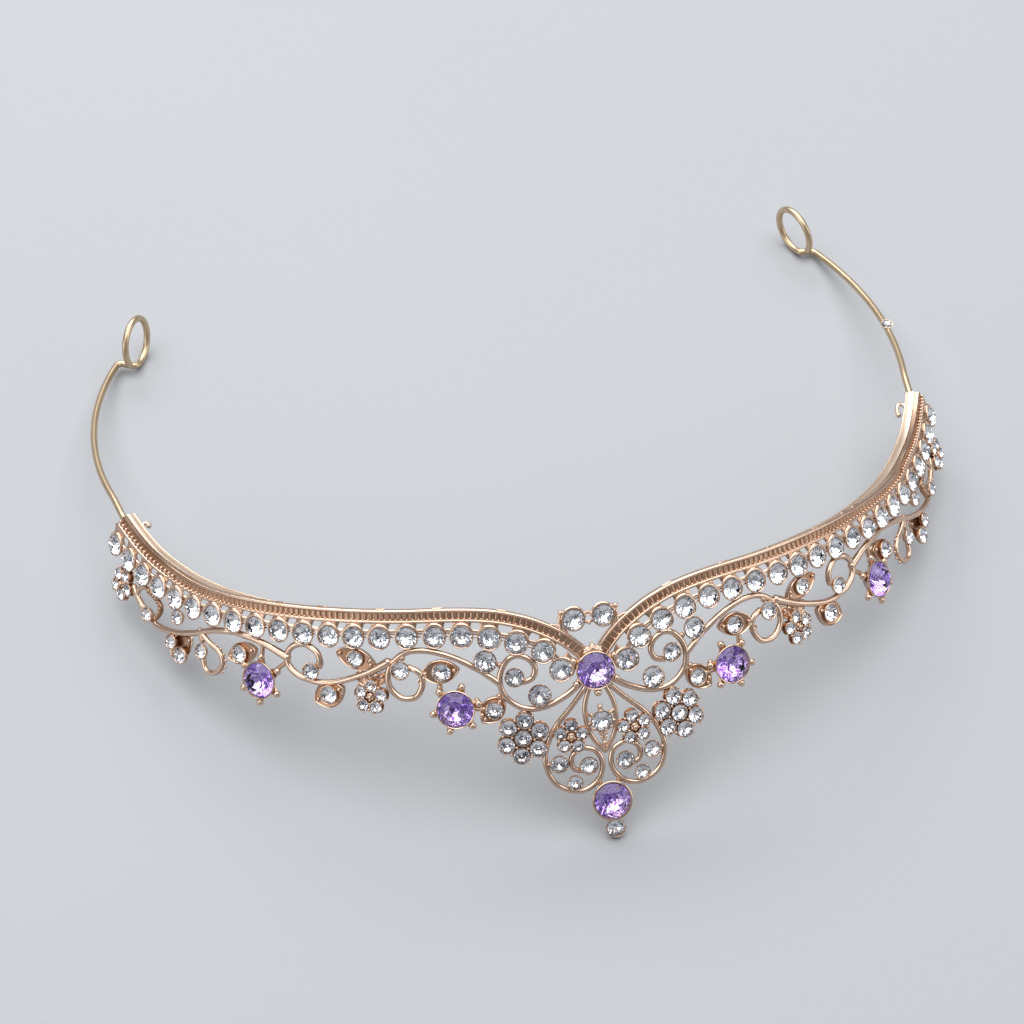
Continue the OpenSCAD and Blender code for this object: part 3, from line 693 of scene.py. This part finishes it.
pile = Pile()
for side in (-1, 1):
    for title, points in wires.items():
        swell = scroll["swell"].get(title, [0, 1])
        scrollWire(pile, mirrored(points, side), scroll["radius"][title], swell)
    pairs = mirrored(np.array(joints, float).reshape(-1, 2, 2), side)
    # joints and solder beads carry some painted shade
    bars(pile, pairs[:, 0], pairs[:, 1], 0, 0.4, 10, 0.4)
    chartBeads(pile, pairs, 0.5, -0.05, 10, 0.4)
    chartBeads(pile, mirrored(solder, side), 0.5, 0, 10, 0.25)
    # two rings at the tip of the second leaf, and grains along the outside of the hanging curl
    for place in ([28.9, 13.2], [29.5, 12.2]):
        ring = np.array(place) + circle(13, 0.42)[np.arange(14) % 13]
        chartSweep(pile, mirrored(ring, side), circle(8, 0.17), 0.3)
    chartBeads(pile, mirrored(curlGrains, side), 0.27, 0.1)
castPiece(pile, "scroll_wires")

# bracts are [u, y, angle]; comb and teeth are the little comb beside the vine's end
leafShape = {
    "columns": 40, "rim": 0.38, "bead": 0.36, "rise": 0.3, "lowRise": -0.35,
    "bracts": [[36.9, 12.2, 128], [39.9, 12.3, 58]],
    "comb": [[88.9, 15.6], [90.2, 16.9], [90.6, 18.1], [89.6, 19.1], [88.2, 19.4], [86.9, 19]],
    "teeth": [[87.2, 19.1], [85.2, 18.3], [83.9, 17.3], [84, 16.2], [84.9, 15]]}


def leafPlate(pile, u, y, length, width, angle, rise, stone=None):
    # outline x = L cos a, y = W sin a |sin a|^0.6, with a raised rim round a sunk face that ends in a round
    # hollow under its own stone [u, y, radius]
    a = 2 * math.pi * np.arange(leafShape["columns"]) / leafShape["columns"]
    c, s = cosSin(angle)
    floor = rise - 0.16 if stone else min(rise - 0.1, 0)
    # steps in from the outline: inset, height, tone, the painted shade: dark on the outer wall and the sunk
    # face, light on the rim
    steps = [(0.16, -0.62, 0.7), (0.1, -0.54, 0.7), (0.1, rise - 0.14, 0.3), (0.14, rise, 0),
             (0.22, rise + 0.04, 0), (0.3, rise, 0), (leafShape["rim"], floor + 0.04, 0.8)]
    steps += [] if stone else [(0.7, floor, 0.5), (1.2, floor, 0.4)]
    rings, tones = [], [tone for inset, height, tone in steps]
    for inset, height, tone in steps:
        x = (length - 1.7 * inset) * np.cos(a)
        z = max(width - inset, 0.2) * np.sign(np.sin(a)) * np.abs(np.sin(a)) ** 1.6
        rings.append(np.stack([x * c - z * s, x * s + z * c, np.full_like(a, height)], -1))
    if stone:
        r = stone[2]
        hollow = [(r + 0.14, floor), (r, 0.3), *bowl(r, seatRise - 0.05)]
        middle = np.array([stone[0] - u, stone[1] - y, 0])
        rings += list(middle + lathe(hollow, onCircle(a + math.radians(angle))))
        # the hollow under the stone is painted in shade
        tones += [0.8] * len(hollow)
    pile.skin(spot(u, y, np.array(rings)), np.array(tones)[:, None])
    for reach in (1.1 - length, length - 1.1):
        beads(pile, spot(u, y, np.array([reach * c, reach * s, rise])), leafShape["bead"], 10)


pile = Pile()
for side in (-1, 1):
    # five leaves have a stone of their own, and the last one lies below the hanging pair
    for (u, y, length, width, angle), stone in zip(leaves, [*singleRows["leaf"], None]):
        rise, stone = leafShape["rise" if stone else "lowRise"], stone and mirrored(stone, side).tolist()
        leafPlate(pile, side * u, y, length, width, mirroredAngle(angle, side), rise, stone)
    # two bracts behind the top of the second flower
    for u, y, angle in leafShape["bracts"]:
        leafPlate(pile, side * u, y, 1.9, 1.05, mirroredAngle(angle, side), 0.1)
    line = smooth(mirrored(leafShape["comb"], side), 6)
    chartSweep(pile, line, circle(10, 0.42), rounded=0.36)
    line = smooth(mirrored(leafShape["teeth"], side), 6)
    # the teeth and their grains carry painted shade
    chartSweep(pile, line, circle(10, 0.45), rounded=0.36, tone=0.8)
    chartBeads(pile, even(line, 0.75), 0.32, 0.36, 8, 0.6)
castPiece(pile, "leaves")


def lobedPlate(pile, u, y, count, start, reach, radius, low, high):
    # outline: the far edge of a ring of circles seen from the middle,
    # r(a) = reach cos d + sqrt(radius^2 - reach^2 sin^2 d)
    a = 2 * math.pi * np.arange(count * 12) / (count * 12)
    step = 2 * math.pi / count
    d = (a - math.radians(start) + step / 2) % step - step / 2
    edge = reach * np.cos(d) + np.sqrt(np.clip(radius ** 2 - (reach * np.sin(d)) ** 2, 0.02, None))
    steps = [[0.9, low], [0.97, low + 0.06], [1, high - 0.1], [0.97, high], [0.4, high]]
    # painted shade: the plate under the stones is darker than the lit ridges
    dish(pile, u, y, steps, edge[:, None] * onCircle(a), 0.6)


def ringOfBeads(pile, middle, reach, angles, radius, w, columns=8, tone=0):
    chartBeads(pile, middle + reach * onCircle(angles), radius, w, columns, tone)


# steps of the boss in a flower's middle: reach, height
boss = [[0.78, -0.4], [0.78, 0.25], [0.68, 0.44], [0.45, 0.58], [0.2, 0.63]]


def stoneGroup(pile, places, middle, r, reach, start, count):
    # cups in a ring, beads between them inside and outside, and two claws outside each stone
    for place in places:
        roundCup(pile, *place, wall=0.08)
    between = np.radians(start + 360 / count * (np.arange(count) + 0.5))
    # the beads between the cups take a little painted shade, and so does the boss below
    ringOfBeads(pile, middle, 0.62 * reach, between, 0.25, 0.66, 8, 0.1)
    ringOfBeads(pile, middle, reach + 0.28 * r, between, 0.27, 0.55, 8, 0.1)
    tips = np.radians(start + 360 / count * np.arange(count))[:, None] + np.radians([-17, 17])
    ringOfBeads(pile, middle, reach + 0.88 * r, tips, 0.19, seatRise + 0.06, 7)
    if len(places) == count:
        # no stone in the middle: a domed boss with beads on it
        dish(pile, *middle, boss, circle(16), 0.1)
        chartBeads(pile, [middle], 0.36, 0.74, 12)
        ringOfBeads(pile, middle, 0.56, between, 0.2, 0.58)


pile = Pile()
for side in (-1, 1):
    for title, (u, y, angle, kind) in rounds.items():
        count, reach, radius, *plate = roundKinds[kind]
        middle, start = mirrored([u, y], side), mirroredAngle(angle, side)
        lobedPlate(pile, *middle, count, start, reach, *plate)
        stoneGroup(pile, roundStones(title, side), middle, radius, reach, start, count)
castPiece(pile, "flower_cups")

# bezel tones are painted shade, ring by ring from the foot: darker at the foot and inside the seat, light on
# the rim
bezelShape = {
    "columns": 48, "ball": 0.64, "reach": 3.85, "stem": 0.38,
    "tones": [0.7, 0.7, 0.4, 0.1, 0, 0, 0, 0.2, 0.8, 1, 1, 1]}


def bezel(pile, u, y, start=None, wall=0.3):
    # a deep cone with a thin bright rim, and six balls on stems where start gives their first angle
    r, top = violetRadius, violetRise
    hollow = bowl(r, top)
    low = hollow[-1][1] - cup["skin"]
    steps = [[0.5 * r, low], [0.5 * r + 0.15, low + 0.06], [r - 0.1, 0.35], [r + wall - 0.1, top - 0.35],
             [r + wall, top - 0.08], [r + wall - 0.03, top + 0.05], [r + wall - 0.12, top + 0.1],
             [r + 0.05, top + 0.05], [r + 0.02, top - 0.1], *hollow]
    dish(pile, u, y, steps, circle(bezelShape["columns"]), np.array(bezelShape["tones"])[:, None])
    if start is None:
        return
    reach, height = np.linspace(r - 0.5, bezelShape["reach"], 6), 0.3 * np.sin(np.linspace(0, 1.4, 6))
    for a in np.radians(start + 60 * np.arange(6)):
        path = spot(u, y, np.stack([reach * math.cos(a), reach * math.sin(a), height], -1))
        wide = np.linspace(0.95, 0.5, 6)
        # the stems are painted in shade
        sweep(pile, path, outward(u), circle(10), wide=wide, deep=bezelShape["stem"], tone=0.6)
        beads(pile, path[-1], bezelShape["ball"], 14)


# balls are [u, y, height, radius, columns], rods [u, y, u, y, height, radius, columns], and the claws stand
# on both sides of the almond's stone
centre = {
    "barReach": 2, "barFrom": 12, "barTo": 172,
    "barLeg": [[4.2, 21.9], [4.7, 21.5], [4.95, 20.6], [4.9, 19.6], [5.1, 18.4]],
    "clawBalls": [[1.55, 4.5, 0.62, 0.36, 10], [1.5, 2.1, 0.55, 0.3, 10]],
    "clawRods": [[1.35, 4.2, 2.2, 4.7, 0.25, 0.3, 8], [1.65, 2.9, 2.4, 2.9, 0, 0.4, 8]],
    "balls": [
        [-4.7, 22, 0.35, 0.48, 12], [4.15, 21.85, 0.35, 0.42, 12], [5, 21.8, 0.35, 0.46, 12],
        [0, 21.5, 0.35, 0.36, 10], [0, 19.7, 0.35, 0.36, 10], [0, 5.65, 0.45, 0.5, 12],
        [0, 4.9, 0.45, 0.36, 12], [0, -0.4, 0.45, 0.42, 12], [0, 15.4, 0.35, 0.68, 12],
        [-0.72, 15.1, 0.35, 0.5, 12], [0.72, 15.1, 0.35, 0.5, 12], [-1.3, 14.9, 0.35, 0.42, 12],
        [1.3, 14.9, 0.35, 0.42, 12], [0, 16.1, 0.35, 0.36, 12]],
    "rods": [
        [-0.7, 21.3, 0.7, 21.3, 0.2, 0.24, 8], [-0.7, 19.9, 0.7, 19.9, 0.2, 0.24, 8],
        [0, 4.85, 0, 5.9, 0.2, 0.42, 10], [0, -1.6, 0, 1.55, 0.2, 0.38, 10],
        [0, -13, 0, -13.5, 0.2, 0.5, 10], [-0.75, 1.15, 0.75, 1.15, 0.2, 0.26, 10],
        [-0.55, 0.5, 0.55, 0.5, 0.2, 0.24, 10], [-1.5, 15.2, 1.5, 15.2, 0, 0.6, 10]]}


def ballsAndRods(pile, balls, rods, side=1):
    for u, y, height, radius, columns in balls:
        chartBeads(pile, [side * u, y], radius, height, columns)
    for u, y, endU, endY, height, radius, columns in rods:
        bars(pile, [side * u, y], [side * endU, endY], height, radius, columns)


pile = Pile()
bezel(pile, *mainPlace, 30)
bezel(pile, *pendantPlace, None, 0.42)
for side in (-1, 1):
    for u, y, start in violets.values():
        bezel(pile, side * u, y, start if side > 0 else 60 - start)
    # top bar: a thick arc over each cup, and a leg down to the band
    angles = np.radians(np.linspace(centre["barFrom"], centre["barTo"], 24))
    arc = mirrored(np.array(topStone[:2]) + centre["barReach"] * onCircle(angles), side)
    chartSweep(pile, arc, circle(10, 0.27), 0.42, rounded=0.24)
    chartSweep(pile, smooth(mirrored(centre["barLeg"], side), 6), circle(10, 0.36), rounded=0.3)
    ballsAndRods(pile, centre["clawBalls"], centre["clawRods"], side)
ballsAndRods(pile, centre["balls"], centre["rods"])
castPiece(pile, "bezels_and_claws")

# the strip stands above the band's line by rise, at u from "from" on; its hook points are [u, y, w]
strip = {
    "from": 14, "rise": [[14, 0], [58, 0], [66, 0.3], [72, 0.7], [97, 0.7]], "w": -1.5, "half": 0.45,
    "deep": 0.8, "corner": 0.1, "lip": 0.2, "hookRadius": 0.35, "hookBall": 0.5,
    "hook": {-1: [[93.9, 28.5, -2.1], [94, 29, -2.6], [93.6, 29.1, -3], [93.2, 28.8, -3.1]],
             1: [[93.9, 28.5, -2.1], [94.1, 29, -2.8], [93.5, 29.2, -3.3], [92.7, 28.6, -3.5],
                 [92.2, 27.8, -3.3]]}}


def roundedBar(half, deep, corner):
    # a rectangle of half width and half depth, with three points on each round corner
    middles = np.array([[1, 1], [-1, 1], [-1, -1], [1, -1]]) * [half - corner, deep - corner]
    turn = onCircle(np.radians([0, 45, 90]) + math.pi / 2 * np.arange(4)[:, None])
    return (middles[:, None] + corner * turn).reshape(-1, 2)


def backingStrip(side, title):
    pile = Pile()
    line = np.array([place for place in bandLine if place[0] > strip["from"]], float)
    line[:, 1] += np.interp(line[:, 0], *np.array(strip["rise"], float).T)
    line = even(smooth(mirrored(line, side)), 0.8)
    path, out = sheet(line[:, 0], line[:, 1], strip["w"]), outward(line[:, 0])
    sweep(pile, path, out, roundedBar(strip["half"], strip["deep"], strip["corner"]))
    # a rolled lip along the upper inner edge
    up, face = axesOf(path, out)[1:]
    edge = path + (strip["half"] - 0.02) * side * up - (strip["deep"] - 0.14) * face
    sweep(pile, edge, out, circle(12, strip["lip"]), rounded=0.12)
    hook = smooth(mirrored(strip["hook"][side], side), 6)
    path = sheet(hook[:, 0], hook[:, 1], hook[:, 2])
    sweep(pile, path, along(hook[:, 0]), circle(10, strip["hookRadius"]), rounded=0.3)
    beads(pile, path[-1], strip["hookBall"], 14)
    pile.build(title + "_satin", [stripGold], [title], "pale_gold")


backingStrip(-1, "strip_left")
backingStrip(1, "strip_right")
print("strips made")

# an arm's long arc has its radius and middle x, and reaches back to a loop at [x, y], turned and tipped by
# some degrees; held, bent and level are [u, y], [u, y] and [y, z]
arms = {
    "thick": 0.6, "loopRadius": 4.4, "loopTurn": 330, "slope": 14.2, "middle": 80, "level": [62.8, 12.56],
    "held": [90, 25.3], "bent": [98.2, 28.9], "forward": 13, "step": 0.25, "shift": bend["back"] + 1,
    -1: {"w": -1.1, "radius": 57.5, "middle": 14.9, "reach": 28.2, "loop": [61.45, 108.1],
         "turn": 30.5, "tip": 10},
    1: {"w": -2, "radius": 77, "middle": -6.3, "reach": 30.6, "loop": [61.2, 111], "turn": 24.3, "tip": 0}}
# the tiny stone's cup on the right wire, and how far its middle stands above the wire
armCup = {
    "at": 1.6, "rise": 0.3, "stoneRadius": 0.95, "stoneDepth": 0.3,
    "steps": [[0.4, -0.6], [0.85, -0.3], [1.12, 0], [1.08, 0.08], [1, 0.06], [0.98, -0.06], [0.5, -0.26],
              [0.1, -0.36]]}


def armArc(arm, t):
    # a long arc that slopes to the floor: x = middle + r cos t, and y and z follow r sin t down the slope
    slope = math.radians(arms["slope"])
    y = arms["middle"] + arm["radius"] * np.sin(t) * math.cos(slope)
    z = arms["level"][1] - (y - arms["level"][0]) * math.tan(slope)
    return np.stack([arm["middle"] + arm["radius"] * np.cos(t), y + arms["shift"], z], -1)


def armPath(arm):
    # held end, bend, long arc, kink and upright loop as one line, its corners eased by a running mean
    r, size, (x, y) = arm["radius"], arms["loopRadius"], arm["loop"]
    (ca, sa), (cb, sb) = cosSin(arm["turn"]), cosSin(arm["tip"])
    t = np.linspace(-math.asin(arms["forward"] / r), math.asin(arm["reach"] / r), 60)
    ring = np.radians(-128 + np.linspace(0, arms["loopTurn"], 90))[:, None]
    level, steep = np.array([-sa, ca, 0]), np.array([ca * sb, sa * sb, cb])
    middle = np.array([x, y + arms["shift"], size * cb + arms["thick"]])
    loop = middle + size * (np.cos(ring) * level + np.sin(ring) * steep)
    held, bent = sheet(*arms["held"], arm["w"]), sheet(*arms["bent"], arm["w"])
    path = even(np.vstack([held, bent, armArc(arm, t), loop]), arms["step"])
    # the loop keeps its full size
    full = np.clip((np.arange(len(path)) - (len(path) - 101)) / 12, 0, 1)[:, None]
    return full * path + (1 - full) * eased(path, 6)


def armStonePlace():
    # the middle of the tiny stone's girdle, just above the right wire
    return armArc(arms[1], math.radians(armCup["at"])) + np.array([0, 0, arms["thick"] + armCup["rise"]])


for side, title in ((-1, "left"), (1, "right")):
    pile = Pile()
    path = armPath(arms[side]) * np.array([side, 1, 1])
    guide = unit(np.cross(np.gradient(path, axis=0), [0.3, 0.2, 1]))
    sweep(pile, path, guide, circle(18, arms["thick"]), rounded=arms["thick"])
    if side > 0:
        pile.skin(armStonePlace() + lathe(armCup["steps"], circle(16)))
    pile.build("wire_arm_" + title, [wireGold], ["arm_" + title], "pale_gold")
print("arms made")


def cutStone(table, rise, star, girdle, depth, waist):
    # round brilliant of radius 1 with a foiled back; star and waist points lie on the planes of the kites and
    # main back facets, z = rise - slope (reach cos 22.5 - table), z = -girdle - depth (1 - reach cos 22.5)
    eighth = math.cos(math.pi / 8)
    starRise = rise - (rise - girdle) / (1 - table) * (star * eighth - table)
    rings = [np.c_[circle(8, table), np.full(8, rise)], np.c_[circle(8, star, 0.5), np.full(8, starRise)],
             np.c_[circle(16), np.full(16, girdle)], np.c_[circle(16), np.full(16, -girdle)],
             np.c_[circle(8, waist, 0.5), np.full(8, -girdle - depth * (1 - waist * eighth))],
             [[0, 0, -girdle - depth]]]
    # first point of the table, star, girdle, lower girdle and waist, and the tip
    t, s, g, b, p, tip = 0, 8, 16, 32, 48, 56
    j, k = np.arange(8), np.arange(16)
    after, before, more = (j + 1) % 8, (j - 1) % 8, (k + 1) % 16
    odd, next2 = 2 * j + 1, (2 * j + 2) % 16
    front = [j[None], np.stack([t + j, s + j, t + after], -1),
             np.stack([t + j, s + before, g + 2 * j, s + j], -1),
             np.stack([s + j, g + 2 * j, g + odd], -1), np.stack([s + j, g + odd, g + next2], -1),
             np.stack([g + k, b + k, b + more, g + more], -1)]
    behind = [np.stack([p + j, b + odd, b + 2 * j], -1), np.stack([p + j, b + next2, b + odd], -1),
              np.stack([np.full(8, tip), p + j, b + 2 * j, p + before], -1)]
    # the front is glass, and the back shows its foil
    return np.vstack(rings), front + behind, [0] * len(front) + [1] * len(behind)


def setStones(name, table, finishes=clearLook, slot="white_stone", rise=seatRise, tilt=3):
    # each stone is the same cut, turned about its axis and tipped a little at random
    pile = Pile()
    points, faces, looks = cutStone(*cutShape.values())
    for u, y, r in table:
        spin, lean = chance.random() * math.pi / 4, math.radians(tilt) * chance.random()
        way = chance.random() * 2 * math.pi
        turn = Quaternion((math.cos(way), math.sin(way), 0), lean) @ Quaternion((0, 0, 1), spin)
        local = r * points @ np.array(turn.to_matrix()).T + np.array([0, 0, rise])
        pile.add(spot(u, y, local), faces, looks=looks)
    pile.build(name + "_cut", finishes, [name], slot, sharp=0)


def setViolet(name, u, y):
    setStones(name, [[u, y, violetRadius]], violetLook, "violet_stone", violetRise, 1)


for side, end in ((-1, "_left"), (1, "_right")):
    for title, table in whiteStones.items():
        setStones(title + end, mirrored(table, side))
    for title, (u, y, start) in violets.items():
        setViolet(title + end, side * u, y)
setStones("marquise_stone", [marquiseStone])
setStones("drop_stone", [dropStone])
setStones("top_stones", [mirrored(topStone, -1), topStone])
setViolet("stone_main", *mainPlace)
setViolet("stone_pendant", *pendantPlace)

# the tiny stone on the right wire is a shallow one, because the wire passes under it
points, faces, looks = cutStone(*{**cutShape, "depth": armCup["stoneDepth"]}.values())
pile = Pile()
pile.add(armStonePlace() + armCup["stoneRadius"] * points, faces, looks=looks)
pile.build("arm_stone_cut", clearLook, ["arm_stone"], "white_stone", sharp=0)
print("stones made")

# a lamp is [place, size, power], in metres and watts
studio = {
    "floorHalf": 1.6, "floor": (0.335, 0.345, 0.36, 1), "floorDark": (0.31, 0.32, 0.335, 1),
    "world": (0.92, 0.94, 1, 1), "worldStrength": 0.34, "aim": (0, 0, 0.012)}
lamps = {"back_panel": [(-0.1, 0.75, 0.66), (0.75, 0.42), 3],
         "top_panel": [(0, 0.35, 1.2), (2.2, 2.2), 38],
         "left_panel": [(-1.15, -0.35, 0.45), (0.9, 0.7), 3.2],
         "right_panel": [(1.15, -0.35, 0.45), (0.9, 0.7), 3]}

floorMesh = bpy.data.meshes.new("floor")
corners = np.array([[-1, -1, 0], [1, -1, 0], [1, 1, 0], [-1, 1, 0]]) * studio["floorHalf"]
floorMesh.from_pydata(corners.tolist(), [], [[0, 1, 2, 3]])
floor = put("floor", floorMesh)
paper = Finish("pale_floor", {"Roughness": 0.6})
tint = paper.mix(paper.noise(6), studio["floor"], studio["floorDark"])
floorMesh.materials.append(paper.surface(Base_Color=tint))

for title, (place, size, power) in lamps.items():
    data = bpy.data.lights.new(title, "AREA")
    data.shape, data.size, data.size_y, data.energy = "RECTANGLE", size[0], size[1], power
    put(title, data, place, (Vector(studio["aim"]) - Vector(place)).to_track_quat("-Z", "Y"))

world = bpy.data.worlds.new("studio")
world.use_nodes = True
sky = world.node_tree.nodes["Background"]
sky.inputs[0].default_value, sky.inputs[1].default_value = studio["world"], studio["worldStrength"]
bpy.context.scene.world = world
bpy.context.scene.view_settings.view_transform = "Standard"

# back points from the scene to the camera, and roll is in degrees
view = {"place": (-0.0955, -0.42982, 0.5378), "back": (-0.1328, -0.6257, 0.7687), "roll": 0.25, "lens": 140.6}
cameraData = bpy.data.cameras.new("camera")
cameraData.lens, cameraData.sensor_width = view["lens"], 36
aimed = (-Vector(view["back"])).to_track_quat("-Z", "Y")
rolled = aimed @ Quaternion((0, 0, 1), math.radians(view["roll"]))
bpy.context.scene.camera = put("camera", cameraData, view["place"], rolled)
print("floor, light and camera made")
